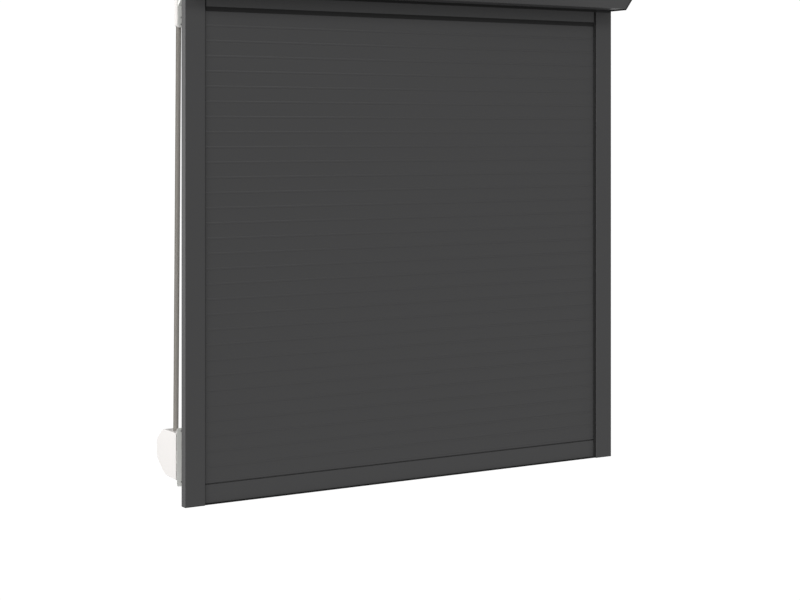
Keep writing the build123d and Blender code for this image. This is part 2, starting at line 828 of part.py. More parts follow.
def belt_passage():
    """The sloping duct through the frame, its rounded nose and the plate behind the guide."""
    half_inner = belt_width / 2 + duct_side_gap
    half_outer = half_inner + duct_wall
    under = belt_half + belt_gap
    above = belt_half + duct_headroom
    in_frame = rectangle(-nose_radius, wall_thickness, guide_plate_base, box_top)
    outer = passage_band(under + duct_wall, above + duct_wall) & in_frame
    duct = along_x(outer, belt_x - half_outer, belt_x + half_outer)
    duct += disc(nose_axis, nose_radius, belt_x - half_outer, belt_x + half_outer)
    duct += along_y(guide_outline(0), wall_thickness, guide_face)
    duct -= along_x(passage_band(under, above), belt_x - half_inner, belt_x + half_inner)
    for height in guide_screw_heights():
        hole = Pos(belt_x, height) * Circle(screw_radius + screw_gap)
        duct -= along_y(hole, wall_thickness - overrun, guide_face + overrun)
    return duct


def belt_guide_cover():
    """The cover over the guide plate, with the roller's axle and the slot the belt leaves by."""
    outer_face = guide_face + guide_cover_depth
    cover = along_y(guide_outline(0), guide_face, outer_face)
    cover = chamfer(cover.edges().group_by(Axis.Y)[-1], guide_cover_bevel)
    cover -= along_y(guide_outline(guide_cover_wall), guide_face, outer_face - guide_cover_wall)
    half_slot = belt_width / 2 + guide_roller_side_gap
    exit_y = roller_axis[0] + roller_wrap
    slot_top = guide_plate_base + belt_exit_rise
    cover -= block(
        belt_x - half_slot,
        belt_x + half_slot,
        exit_y - belt_exit_half,
        exit_y + belt_exit_half,
        guide_plate_base - overrun,
        slot_top,
    )
    half_axle = guide_plate_width / 2 - guide_cover_wall / 2
    return cover + disc(roller_axis, guide_axle_radius, belt_x - half_axle, belt_x + half_axle)


def guide_roller():
    """The roller that turns the belt down the wall."""
    half = guide_plate_width / 2 - guide_cover_wall - guide_roller_side_gap
    bore = guide_axle_radius + pin_gap
    return ring(roller_axis, guide_roller_radius, bore, belt_x - half, belt_x + half)


# Belt winder

drum_half = belt_width / 2 + drum_side_gap + drum_flange
ear_inner = drum_half + ear_gap
ear_outer = ear_inner + ear_thickness
drum_rim_radius = drum_hub_radius - drum_rim


def winder_screw_heights():
    """The two screws of the winder plate."""
    low = winder_plate_base + winder_screw_inset
    return [low, low + winder_screw_spacing]


def winder_bracket():
    """The wall plate with two ears and the fixed axle between them."""
    half = winder_plate_width / 2
    top = winder_plate_base + winder_plate_height
    plate = rectangle(belt_x - half, belt_x + half, winder_plate_base, top)
    plate = fillet(plate.vertices(), winder_plate_corner)
    for height in winder_screw_heights():
        plate -= Pos(belt_x, height) * Circle(screw_radius + screw_gap)
    bracket = along_y(plate, wall_thickness, winder_face)
    ear = rectangle(
        wall_thickness, drum_axis[0], drum_height - ear_width / 2, drum_height + ear_width / 2
    )
    ear += Pos(*drum_axis) * Circle(ear_width / 2)
    bracket += along_x(ear, belt_x - ear_outer, belt_x - ear_inner)
    bracket += along_x(ear, belt_x + ear_inner, belt_x + ear_outer)
    return bracket + disc(drum_axis, winder_axle_radius, belt_x - ear_outer, belt_x + ear_outer)


def winder_outline(inset):
    """The side outline of the winder's case, open towards the wall where it is inset."""
    back = winder_face + seat_gap
    front = winder_face + winder_case_depth
    top = winder_case_base + winder_case_height
    corners = [
        (back, winder_case_base),
        (back, top),
        (back + winder_top_length, top),
        (front, winder_front_top),
        (front, winder_front_base),
        (back + winder_low_length, winder_case_base + winder_wall_corner),
    ]
    outline = make_face(Polyline(*corners, close=True))
    radii = [winder_top_radius, winder_shoulder_radius, winder_chin_radius, winder_belly_radius]
    for corner, radius in zip(corners[2:], radii):
        point = Vector(*corner)
        nearest = min(outline.vertices(), key=lambda vertex: (Vector(vertex) - point).length)
        outline = fillet(nearest, radius)
    if not inset:
        return outline
    inner = offset(outline, -inset)
    return inner + rectangle(
        back - overrun, back + 2 * inset, winder_case_base + inset, top - inset
    )


def winder_case():
    """The hollow case over the drum, with the slot for the belt in its top."""
    half = winder_case_width / 2
    case = along_x(winder_outline(0), belt_x - half, belt_x + half)
    rims = case.edges().filter_by(Axis.X, reverse=True)
    back = winder_face + seat_gap
    rims = [edge for edge in rims if edge.center().Y > back + winder_edge_bevel]
    case = chamfer(rims, winder_edge_bevel)
    inner_half = half - winder_case_wall
    case -= along_x(winder_outline(winder_case_wall), belt_x - inner_half, belt_x + inner_half)
    top = winder_case_base + winder_case_height
    slope = math.tan(to_drum + math.pi / 2)
    slot_y = meet_drum[0] + (top - meet_drum[1]) * slope
    half_slot = belt_width / 2 + drum_side_gap
    return case - block(
        belt_x - half_slot,
        belt_x + half_slot,
        slot_y - winder_slot_half,
        slot_y + winder_slot_half,
        top - winder_case_wall - overrun,
        top + overrun,
    )


def winder_drum():
    """The spring drum: a rim between two flanges, closed by a web round its bore."""
    bore = winder_axle_radius + pin_gap
    low, high = belt_x - drum_half, belt_x + drum_half
    drum = ring(drum_axis, drum_hub_radius, drum_rim_radius, low, high)
    drum += ring(drum_axis, drum_flange_radius, drum_rim_radius, low, low + drum_flange)
    drum += ring(drum_axis, drum_flange_radius, drum_rim_radius, high - drum_flange, high)
    drum += ring(drum_axis, drum_hub_radius, bore, low, low + drum_flange)
    return drum + ring(drum_axis, drum_boss_radius, bore, low, low + drum_flange + drum_boss_height)


def winder_spring():
    """The flat spiral spring from the axle out to the drum's rim."""
    inner = winder_axle_radius + seat_gap + spring_thickness / 2
    outer = drum_rim_radius - running_gap - spring_thickness / 2
    pitch = (outer - inner) / spring_turns
    path = []
    for middle, radius, start in winding(drum_axis, outer, pitch, spring_turns, 0):
        path.append(bend(middle, radius, start, math.pi))
    low = belt_x - drum_half + drum_flange + drum_boss_height + running_gap
    return along_x(band(path, spring_thickness), low, belt_x + drum_half - running_gap)


# Write every piece as its own file


def save(name, *shapes):
    """One node from one or more separate solids."""
    solids = []
    for shape in shapes:
        solids += shape.solids()
    node = solids[0] if len(solids) == 1 else Compound(children=solids)
    node.label = name
    export_step(node, os.path.join("parts", name + ".step"))
    print(name, len(solids), round(sum(solid.volume for solid in solids) / 1000, 1))


right_cap = end_cap()
right_rail = guide_rail()
save("box_back_shell", back_shell())
save("box_front_cover", front_cover())
save("box_end_cap_left", mirror(right_cap, Plane.YZ))
save("box_end_cap_right", right_cap)
save("inlet_lip", inlet_lip())
save("cover_seal", cover_seal())
save("guide_rail_left", mirror(right_rail, Plane.YZ))
save("guide_rail_right", right_rail)
save("rail_lip_seals", *lip_seals())
save("rail_inlet_funnels", *both_sides([inlet_adaptor()]))
save("rail_bottom_plugs", *both_sides([foot_plug()]))
save("roller_shaft", roller_shaft())
save("belt_pulley", belt_pulley())
save("shaft_end_plug", shaft_end_plug())
save("shaft_bearings", *both_sides([shaft_bearing()]))
save("suspension_strips", *hangers())
save("bottom_bar", bottom_bar())
save("bottom_bar_seal", bottom_bar_seal())
save("bottom_bar_end_caps", *both_sides([bottom_bar_cap()]))
first_slat = slat(first_slat_base)
for number in range(slat_count):
    save(f"slat_{number + 1:02d}", Pos(0, 0, number * slat_pitch) * first_slat)
save("belt", belt())
save("belt_passage", belt_passage())
save("belt_guide_cover", belt_guide_cover())
save("belt_guide_roller", guide_roller())
save("winder_bracket", winder_bracket())
save("winder_case", winder_case())
save("winder_drum", winder_drum())
save("winder_spring", winder_spring())
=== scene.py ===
import math

import bpy
import numpy as np
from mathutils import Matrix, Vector


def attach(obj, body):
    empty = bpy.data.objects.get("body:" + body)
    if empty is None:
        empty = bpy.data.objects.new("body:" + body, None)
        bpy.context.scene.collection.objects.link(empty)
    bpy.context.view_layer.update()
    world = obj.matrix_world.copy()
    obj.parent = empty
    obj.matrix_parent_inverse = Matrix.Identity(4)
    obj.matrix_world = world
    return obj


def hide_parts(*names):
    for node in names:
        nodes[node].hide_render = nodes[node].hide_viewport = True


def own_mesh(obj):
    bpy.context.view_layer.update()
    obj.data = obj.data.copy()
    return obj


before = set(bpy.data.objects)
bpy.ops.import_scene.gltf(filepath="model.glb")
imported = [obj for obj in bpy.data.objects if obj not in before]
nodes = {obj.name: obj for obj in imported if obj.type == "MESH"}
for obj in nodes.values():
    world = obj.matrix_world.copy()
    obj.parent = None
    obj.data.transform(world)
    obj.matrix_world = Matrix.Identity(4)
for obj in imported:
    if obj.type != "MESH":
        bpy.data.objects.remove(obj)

scene = bpy.context.scene
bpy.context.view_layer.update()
print("stage: frame loaded")

# Lengths are in metres: X to the right seen from outside, Y into the room, Z up


# A mesh from rows of points. Point (i, j) makes a face with (i, j + 1), (i + 1, j + 1) and
# (i + 1, j); a closed direction runs on to its first points. Faces whose middle the test
# "without" finds are left out, and caps fill the first and the last row.
def grid(name, points, closeRows=False, closeCols=False, caps=(False, False), uv=None, without=None):
    rows, cols = points.shape[:2]
    index = np.arange(rows * cols).reshape(rows, cols)
    r = np.arange(rows if closeRows else rows - 1)
    c = np.arange(cols if closeCols else cols - 1)
    a = index[np.ix_(r, c)]
    b = index[np.ix_(r, (c + 1) % cols)]
    d = index[np.ix_((r + 1) % rows, (c + 1) % cols)]
    e = index[np.ix_((r + 1) % rows, c)]
    faces = np.stack([a, b, d, e], -1).reshape(-1, 4)
    places = points.reshape(-1, 3)
    if without is not None:
        faces = faces[~without(*places[faces].mean(axis=1).T)]
    faces = faces.tolist()
    if caps[0]:
        faces.append(index[0][::-1].tolist())
    if caps[1]:
        faces.append(index[-1].tolist())
    mesh = bpy.data.meshes.new(name)
    mesh.from_pydata(places.tolist(), [], faces)
    if uv is not None:
        layer = mesh.uv_layers.new(name="UVMap")
        loops = np.empty(len(mesh.loops), int)
        mesh.loops.foreach_get("vertex_index", loops)
        layer.data.foreach_set("uv", uv.reshape(-1, 2)[loops].ravel().astype(np.float32))
    mesh.validate()
    mesh.update()
    return mesh


# A section of two coordinates per point, drawn out along the third axis between two ends
def drawnOut(name, section, axis, ends):
    points = np.empty((2, len(section), 3))
    points[:, :, axis] = np.array(ends)[:, None]
    points[:, :, [other for other in range(3) if other != axis]] = np.array(section)[None]
    return grid(name, points, closeCols=True, caps=(True, True))


# Signed volume: a sixth of the sum of a . (b x c) over the triangles. Below zero is inside out.
def turnOutwards(mesh):
    mesh.calc_loop_triangles()
    corners = np.empty(len(mesh.vertices) * 3)
    mesh.vertices.foreach_get("co", corners)
    index = np.empty(len(mesh.loop_triangles) * 3, int)
    mesh.loop_triangles.foreach_get("vertices", index)
    a, b, c = corners.reshape(-1, 3)[index.reshape(-1, 3)].transpose(1, 0, 2)
    if np.einsum("ij,ij->", a, np.cross(b, c)) < 0:
        mesh.flip_normals()


# Link a finished mesh, shade it smooth but for edges over the angle, and let it ride with its body
def place(name, mesh, material, body, smoothAngle=30.0):
    if len(mesh.loops) == 2 * len(mesh.edges):  # closed all round
        turnOutwards(mesh)
    piece = bpy.data.objects.new(name, mesh)
    scene.collection.objects.link(piece)
    mesh.materials.append(material)
    mesh.shade_smooth()
    mesh.set_sharp_from_angle(angle=math.radians(smoothAngle))
    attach(piece, body)
    return piece


# Materials

noise = {
    "grain": 900.0, "grainDetail": 3.0, "depth": 0.0001,
    "broad": 3.0, "broadDetail": 2.0, "range": (0.3, 0.7), "roughSpread": 0.03,
}


# Fine noise, the grain, mixes the colour between (1 - spread) and (1 + spread) of itself and
# raises the bump. Broad noise moves the roughness by the rough spread either way.
def newMaterial(settings):
    material = bpy.data.materials.new(settings["name"])
    material.use_nodes = True
    tree = material.node_tree
    shader = tree.nodes["Principled BSDF"]
    shader.inputs["Metallic"].default_value = settings.get("metal", 0.0)
    shader.inputs["Specular IOR Level"].default_value = settings.get("specular", 0.5)
    coords = tree.nodes.new("ShaderNodeTexCoord")
    grain = tree.nodes.new("ShaderNodeTexNoise")
    grain.inputs["Scale"].default_value = settings.get("grain", noise["grain"])
    grain.inputs["Detail"].default_value = noise["grainDetail"]
    tree.links.new(coords.outputs["Object"], grain.inputs["Vector"])
    broad = tree.nodes.new("ShaderNodeTexNoise")
    broad.inputs["Scale"].default_value = noise["broad"]
    broad.inputs["Detail"].default_value = noise["broadDetail"]
    tree.links.new(coords.outputs["Object"], broad.inputs["Vector"])
    level = tree.nodes.new("ShaderNodeMapRange")
    level.inputs["From Min"].default_value = noise["range"][0]
    level.inputs["From Max"].default_value = noise["range"][1]
    level.inputs["To Min"].default_value = settings["rough"] - noise["roughSpread"]
    level.inputs["To Max"].default_value = settings["rough"] + noise["roughSpread"]
    tree.links.new(broad.outputs["Fac"], level.inputs["Value"])
    tree.links.new(level.outputs["Result"], shader.inputs["Roughness"])
    color, spread = settings["color"], settings.get("spread", 0.04)
    tint = tree.nodes.new("ShaderNodeMix")
    tint.data_type = "RGBA"
    tint.inputs["A"].default_value = [c * (1 - spread) for c in color] + [1]
    tint.inputs["B"].default_value = [c * (1 + spread) for c in color] + [1]
    tree.links.new(grain.outputs["Fac"], tint.inputs["Factor"])
    tree.links.new(tint.outputs["Result"], shader.inputs["Base Color"])
    bump = tree.nodes.new("ShaderNodeBump")
    bump.inputs["Strength"].default_value = settings.get("bump", 0.1)
    bump.inputs["Distance"].default_value = noise["depth"]
    tree.links.new(grain.outputs["Fac"], bump.inputs["Height"])
    tree.links.new(bump.outputs["Normal"], shader.inputs["Normal"])
    return material


finishes = {
    "coat": {
        "name": "anthracite coat", "color": (0.047, 0.047, 0.048), "rough": 0.46,
        "bump": 0.12, "grain": 1400.0,
    },
    "slat": {
        "name": "slat coat", "color": (0.045, 0.045, 0.046), "rough": 0.46,
        "bump": 0.06, "grain": 1400.0,
    },
    # Black rubber of the seals; the same black also serves as painted shade on the strips under the end caps
    # and at the lip's foot
    "rubber": {
        "name": "black rubber", "color": (0.008, 0.008, 0.008), "rough": 0.7,
        "specular": 0.3, "bump": 0.2,
    },
    "black": {
        "name": "black plastic", "color": (0.011, 0.011, 0.012), "rough": 0.5,
        "specular": 0.4, "bump": 0.15,
    },
    "grey": {"name": "grey plastic", "color": (0.30, 0.30, 0.29), "rough": 0.45},
    "plate": {"name": "plate grey", "color": (0.90, 0.91, 0.87), "rough": 0.42},
    "zinc": {
        "name": "zinc plated steel", "color": (0.55, 0.56, 0.56), "rough": 0.33,
        "metal": 1.0, "grain": 220.0, "spread": 0.12,
    },
    "white": {
        "name": "white plastic", "color": (0.81, 0.785, 0.765), "rough": 0.32,
        "spread": 0.01, "bump": 0.06,
    },
}
materials = {finish: newMaterial(settings) for finish, settings in finishes.items()}
nodesOf = {
    "coat": (
        "box_back_shell", "box_front_cover", "box_end_cap_left", "box_end_cap_right",
        "inlet_lip", "guide_rail_left", "guide_rail_right", "bottom_bar",
    ),
    "rubber": ("cover_seal", "rail_lip_seals", "bottom_bar_seal"),
    "black": ("rail_inlet_funnels", "rail_bottom_plugs", "bottom_bar_end_caps"),
    "grey": ("belt_pulley", "shaft_end_plug", "belt_guide_roller", "winder_drum", "belt"),
    "plate": ("belt_passage", "winder_bracket"),
    "zinc": ("roller_shaft", "shaft_bearings", "suspension_strips", "winder_spring"),
    "white": ("belt_guide_cover", "winder_case"),
}
finishOf = {node: finish for finish, group in nodesOf.items() for node in group}
for nodeName, piece in nodes.items():
    piece.data.materials.clear()
    piece.data.materials.append(materials[finishOf.get(nodeName, "slat")])
print("stage: materials")

# Slats: smooth sections in place of the stored ones


# Points from a to c on the circle through a, b and c, whose centre is as far from each of them
def arc(a, b, c, count):
    a, b, c = (np.array(p, float) for p in (a, b, c))
    m = np.array([b - a, c - b])
    rhs = np.array([(b @ b - a @ a) / 2, (c @ c - b @ b) / 2])
    centre = np.linalg.solve(m, rhs)
    start = math.atan2(*(a - centre)[::-1])
    mid = (math.atan2(*(b - centre)[::-1]) - start) % math.tau
    end = (math.atan2(*(c - centre)[::-1]) - start) % math.tau
    if mid > end:
        end -= math.tau
    turn = start + np.linspace(0, 1, count) * end
    return centre + np.linalg.norm(a - centre) * np.stack([np.cos(turn), np.sin(turn)], -1)


slats = {
    "pitch": 0.0371, "first": 0.0520, "count": 32, "half": 0.613,
    "mid": -0.010, "hookY": -0.0096,
    "keep": 0.024,  # share of its height that a raised slat keeps
}


# The slat's outline in Y and Z above its foot: bead, ledge and crowned face as arcs, the neck and
# round head of the hook, the back as an arc, and the slotted chamber with a round roof
def slatSection(base):
    y, hookY = slats["mid"], slats["hookY"]
    front = arc((y - 0.0039, base), (y - 0.004, base + 0.0020), (y - 0.0039, base + 0.0042), 7)
    ledge = arc((y - 0.0039, base + 0.0042), (y - 0.0036, base + 0.0047), (y - 0.00345, base + 0.0056), 5)
    face = arc((y - 0.00345, base + 0.0056), (y - 0.0038, base + 0.0215), (y - 0.0037, base + 0.0369), 15)
    neck = [(hookY - 0.0006, base + 0.0369), (hookY - 0.0006, base + 0.0391)]
    hook = arc((hookY - 0.0017, base + 0.0400), (hookY, base + 0.0424), (hookY + 0.0017, base + 0.0400), 7)
    low = [(hookY + 0.0006, base + 0.0391), (hookY + 0.0006, base + 0.0369)]
    back = arc((y + 0.0032, base + 0.0369), (y + 0.0028, base + 0.01855), (y + 0.004, base), 11)
    slot = [(hookY + 0.001, base), (hookY + 0.001, base + 0.0015), (hookY + 0.0022, base + 0.0015)]
    roof = arc((hookY + 0.0022, base + 0.0037), (hookY, base + 0.0059), (hookY - 0.0022, base + 0.0037), 7)
    shut = [(hookY - 0.0022, base + 0.0015), (hookY - 0.001, base + 0.0015), (hookY - 0.001, base)]
    return np.concatenate([front, ledge[1:-1], face, neck, hook, low, back, slot, roof, shut])


for number in range(slats["count"]):
    base = slats["first"] + number * slats["pitch"]
    name = f"slat_{number + 1:02d}"
    body = "curtain_foot" if number == 0 else f"row_{number + 1:02d}"
    mesh = drawnOut(name + "_skin", slatSection(base), 0, (-slats["half"], slats["half"]))
    piece = place(name + "_skin", mesh, materials["slat"], body)
    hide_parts(name)
    if number > 0:
        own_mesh(piece)
print("stage: slats")

# Belt: a woven band on the stored route, in Y and Z

belt = {
    "x": -0.625, "width": 0.014, "thick": 0.00096, "pitch": 0.0014,
    "pulley": {"centre": (-0.079, 1.334), "radius": 0.0518, "halfTurns": 10},
    "nose": {"centre": (0.001, 1.2584), "radius": 0.0083},
    "roller": {"centre": (0.0655, 1.203), "radius": 0.0073},
    "drum": {"centre": (0.121, 0.108), "radius": 0.0301, "halfTurns": 4},
}
weave = {
    "name": "belt webbing", "color": (0.515, 0.49, 0.45), "rough": 0.8,
    "specular": 0.2, "spread": 0.12, "grain": 1500.0,
    "ribAcross": 0.0011, "ribAlong": 0.0013, "bump": 0.5, "depth": 0.00012,
    "selvedge": (0.0047, 0.0051), "selvedgeColor": (0.31, 0.29, 0.26, 1),
}


# Points at an angle on a circle: the centre plus the radius times cosine and sine
def polar(centre, radius, angle):
    return np.stack([centre[0] + radius * np.cos(angle), centre[1] + radius * np.sin(angle)], -1)


# Heading and ends of the line between two circles; a radius is positive anticlockwise. The line
# turns away from the centres' line by the arcsine of the radii's difference over their distance.
def tangentLine(ca, ra, cb, rb):
    gap = np.subtract(cb, ca)
    heading = math.atan2(gap[1], gap[0]) - math.asin((rb - ra) / np.hypot(*gap))
    left = heading + math.pi / 2
    return heading, polar(ca, -ra, left), polar(cb, -rb, left)


# Half turns of a spiral: the radius less half a pitch for each. The odd ones lie on a centre that
# is half a pitch off, so that the ends meet.
def windings(wheel, join, halves, evenStart, oddStart):
    parts = []
    for half in halves:
        odd = half % 2 == 1
        centre = polar(wheel["centre"], belt["pitch"] / 2, join + math.pi) if odd else wheel["centre"]
        turn = join + (oddStart if odd else evenStart) + np.linspace(0, math.pi, 49)[:-1]
        parts.append(polar(centre, wheel["radius"] - half * belt["pitch"] / 2, turn))
    return parts


# Middle line of the belt: windings, line to the nose, round it, line to the roller, round it,
# line to the drum, windings
def beltRoute():
    pulley, nose, roller, drum = (belt[part] for part in ("pulley", "nose", "roller", "drum"))
    quarter = math.pi / 2
    around, over, under, onto = pulley["radius"], -nose["radius"], -roller["radius"], drum["radius"]
    toNose, leavePulley, meetNose = tangentLine(pulley["centre"], around, nose["centre"], over)
    toRoller, leaveNose, meetRoller = tangentLine(nose["centre"], over, roller["centre"], under)
    toDrum, leaveRoller, meetDrum = tangentLine(roller["centre"], under, drum["centre"], onto)
    parts = windings(pulley, toNose - quarter, range(pulley["halfTurns"] - 1, -1, -1), -math.pi, 0)
    parts.append(np.linspace(leavePulley, meetNose, 5)[:-1])
    turn = np.linspace(toNose, toRoller, 13)[:-1] + quarter
    parts.append(polar(nose["centre"], nose["radius"], turn))
    parts.append(np.linspace(leaveNose, meetRoller, 7)[:-1])
    turn = np.linspace(toRoller, toDrum, 17)[:-1] + quarter
    parts.append(polar(roller["centre"], roller["radius"], turn))
    parts.append(np.linspace(leaveRoller, meetDrum, 41)[:-1])
    parts += windings(drum, toDrum - quarter, range(drum["halfTurns"]), 0, math.pi)
    return np.concatenate(parts)


# Grey brown webbing. The height is s + s times t, of two sines: s over the width for the ribs along
# the belt and t over the length for the ribs across. A darker selvedge runs along each edge.
def beltMaterial():
    material = newMaterial(weave)
    tree = material.node_tree
    shader = tree.nodes["Principled BSDF"]
    bump = next(n for n in tree.nodes if n.type == "BUMP")
    tint = next(n for n in tree.nodes if n.type == "MIX")

    def calculate(operation, *sources):
        step = tree.nodes.new("ShaderNodeMath")
        step.operation = operation
        for slot, source in enumerate(sources):
            if isinstance(source, float):
                step.inputs[slot].default_value = source
            else:
                tree.links.new(source, step.inputs[slot])
        return step.outputs[0]

    uv = tree.nodes.new("ShaderNodeUVMap")
    split = tree.nodes.new("ShaderNodeSeparateXYZ")
    tree.links.new(uv.outputs["UV"], split.inputs["Vector"])
    across = calculate("SINE", calculate("MULTIPLY", split.outputs["Y"], math.tau / weave["ribAcross"]))
    along = calculate("SINE", calculate("MULTIPLY", split.outputs["X"], math.tau / weave["ribAlong"]))
    tree.links.new(calculate("MULTIPLY_ADD", across, along, along), bump.inputs["Height"])
    bump.inputs["Distance"].default_value = weave["depth"]
    band = tree.nodes.new("ShaderNodeMapRange")
    band.inputs["From Min"].default_value = weave["selvedge"][0]
    band.inputs["From Max"].default_value = weave["selvedge"][1]
    tree.links.new(calculate("ABSOLUTE", split.outputs["X"]), band.inputs["Value"])
    dark = tree.nodes.new("ShaderNodeMix")
    dark.data_type = "RGBA"
    dark.inputs["B"].default_value = weave["selvedgeColor"]
    tree.links.new(tint.outputs["Result"], dark.inputs["A"])
    tree.links.new(band.outputs["Result"], dark.inputs["Factor"])
    tree.links.new(dark.outputs["Result"], shader.inputs["Base Color"])
    return material


route = beltRoute()
step = np.gradient(route, axis=0)
normal = np.stack([-step[:, 1], step[:, 0]], -1)
normal /= np.linalg.norm(normal, axis=1, keepdims=True)
length = np.concatenate([[0], np.cumsum(np.linalg.norm(np.diff(route, axis=0), axis=1))])
acrossX = np.array([-1, -0.94, 0.94, 1, 1, 0.94, -0.94, -1]) * belt["width"] / 2
acrossN = np.array([0.35, 1, 1, 0.35, -0.35, -1, -1, -0.35]) * belt["thick"] / 2
points = np.empty((len(route), 8, 3))
points[:, :, 0] = belt["x"] + acrossX[None]
points[:, :, 1:] = route[:, None, :] + normal[:, None, :] * acrossN[None, :, None]
uv = np.empty((len(route), 8, 2))
uv[:, :, 0] = acrossX[None]
uv[:, :, 1] = length[:, None]
mesh = grid("belt_band", points, closeCols=True, caps=(True, True), uv=uv)
piece = place("belt_band", mesh, beltMaterial(), "frame", 50.0)
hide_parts("belt")
print("stage: belt", round(float(length[-1]), 3))

# Lip under the box: a coated sheet with a black strip that turns in along its foot. The strip is partly a
# seal and partly painted shade under the lip's foot.

lip = {
    "half": 0.5925, "top": 1.2590, "foot": 1.2030, "strip": 0.0110,
    "face": -0.0175, "thick": 0.0013, "inwards": 0.0022,
    "set": (0.0003, -0.0001), "wall": (0.0006, 0.0004),  # the strip's shift and wall, along Y and Z
}
ends = (-lip["half"], lip["half"])
seam = lip["foot"] + lip["strip"]
face, back = lip["face"], lip["face"] + lip["thick"]
mesh = drawnOut("lip_sheet", [(face, lip["top"]), (back, lip["top"]), (back, seam), (face, seam)], 0, ends)
piece = place("lip_sheet", mesh, materials["coat"], "frame", 40.0)
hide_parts("inlet_lip")

# The black strip: partly a seal, partly painted shade, darkening the band under the lip's foot
turn = np.linspace(0, math.pi / 2, 9)
curveY = face + lip["set"][0] + lip["inwards"] * (1 - np.cos(turn))
curveZ = seam + lip["set"][1] - lip["strip"] * np.sin(turn)
outer = np.stack([curveY, curveZ], -1)
wallZ = np.maximum(curveZ[::-1] + lip["wall"][1], lip["foot"])
inner = np.stack([curveY[::-1] + lip["wall"][0], wallZ], -1)
mesh = drawnOut("lip_strip", np.concatenate([outer, inner]), 0, ends)
piece = place("lip_strip", mesh, materials["rubber"], "frame", 40.0)
print("stage: lip")

# Rubber along the rails and under the bar: a foot in the metal and a lip outside it

# The lips reach out over the slats' ends. They are partly the seal and partly painted shade: their black
# widens the dark strip beside the rails, where shade falls.
seals = {
    "mouth": 0.597, "deep": 0.0062, "reach": 0.0031, "low": 0.0022, "high": 1.2416, "slatGap": 0.0004,
    "thick": (0.0016, 0.0013, 0.0007),  # of the lip at its root, halfway and at its tip
    "front": (-0.0205, -0.0168, -0.014),  # the channel's two sides and the slat's face
    "back": (-0.0015, -0.0032, -0.006),
}


# Foot in the channel and a thin lip that leans from the mouth to just before the slat's face
def sealSection(channelOut, channelIn, face):
    way = np.sign(face - channelOut)
    tip = face - way * seals["slatGap"]
    mid = (channelIn + tip) / 2
    root, halfway, end = seals["thick"]
    return np.array([
        (seals["deep"], channelOut),
        (seals["deep"], channelIn),
        (0.0, channelIn),
        (-seals["reach"] * 0.5, mid),
        (-seals["reach"], tip),
        (-seals["reach"] - 0.0004, tip - way * end),
        (-seals["reach"] * 0.55, mid - way * halfway),
        (0.0, channelIn - way * root),
        (0.0, channelOut),
    ])


for side, sideName in ((-1, "left"), (1, "right")):
    for row in ("front", "back"):
        section = sealSection(*seals[row])
        section[:, 0] = side * (seals["mouth"] + section[:, 0])
        name = "lip_seal_" + sideName + "_" + row
        mesh = drawnOut(name, section, 2, (seals["low"], seals["high"]))
        piece = place(name, mesh, materials["rubber"], "frame")
        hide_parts("rail_lip_seals")

foot = {
    "half": 0.5958, "front": -0.0190, "back": -0.0068, "bar": 0.00245, "thick": 0.0022,
    "neck": 0.00155, "bulb": 0.00255, "bulbZ": (0.00415, 0.00625), "mid": -0.0100,
}
turn = np.linspace(-math.pi / 2, math.pi / 2, 7)
nose = foot["thick"] / 2
rounded = np.stack([foot["front"] + nose - nose * np.cos(turn), nose + nose * np.sin(turn)], -1)
mid, neck, bulb, (bulbLow, bulbHigh) = (foot[part] for part in ("mid", "neck", "bulb", "bulbZ"))
section = np.concatenate([rounded, [
    (-0.0140, foot["thick"]),
    (-0.0136, foot["bar"]),
    (mid - neck, foot["bar"]),
    (mid - neck, bulbLow),
    (mid - bulb, bulbLow),
    (mid - bulb, bulbHigh),
    (mid + bulb, bulbHigh),
    (mid + bulb, bulbLow),
    (mid + neck, bulbLow),
    (mid + neck, foot["bar"]),
    (foot["back"], foot["bar"]),
    (foot["back"], 0.0006),
    (foot["back"] - 0.0006, 0.0),
]])
mesh = drawnOut("bar_foot", section, 0, (-foot["half"], foot["half"]))
piece = place("bar_foot", mesh, materials["rubber"], "curtain_foot")
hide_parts("bottom_bar_seal")

# Black strips along the end caps' lower edges: painted shade, standing for the shade under each cap's rim
edge = {"inner": 0.6482, "outer": 0.6498, "y": (-0.0900, -0.0235), "z": (1.2458, 1.2480)}
for side, sideName in ((-1, "left"), (1, "right")):
    inner, outer, (low, high) = side * edge["inner"], side * edge["outer"], edge["z"]
    name = "end_cap_shade_strip_" + sideName
    mesh = drawnOut(name, [(inner, low), (outer, low), (outer, high), (inner, high)], 1, edge["y"])
    piece = place(name, mesh, materials["rubber"], "frame")
print("stage: rubber")

# Covers over the holes for the rail screws: short cylinders with a small chamfer outside

holeCover = {
    "radius": 0.00245, "thick": 0.0010, "chamfer": 0.0001,
    "x": 0.6500, "y": -0.011, "heights": (0.121, 0.621, 1.121),
}
chamfer = holeCover["chamfer"]
depths = holeCover["x"] - np.array([holeCover["thick"], chamfer, 0])
radii = holeCover["radius"] - np.array([0, 0, chamfer])
turn = np.arange(32) * (math.tau / 32)
number = 0
for side in (-1, 1):
    for height in holeCover["heights"]:
        points = np.empty((len(depths), len(turn), 3))
        points[:, :, 0] = side * depths[:, None]
        points[:, :, 1] = holeCover["y"] + radii[:, None] * np.cos(turn)[None]
        points[:, :, 2] = height + radii[:, None] * np.sin(turn)[None]
        number += 1
        name = "rail_cover_" + str(number)
        mesh = grid(name, points, closeCols=True, caps=(True, True))
        piece = place(name, mesh, materials["coat"], "frame")
print("stage: rail covers")

# Winder case and belt guide: mouldings with round rims


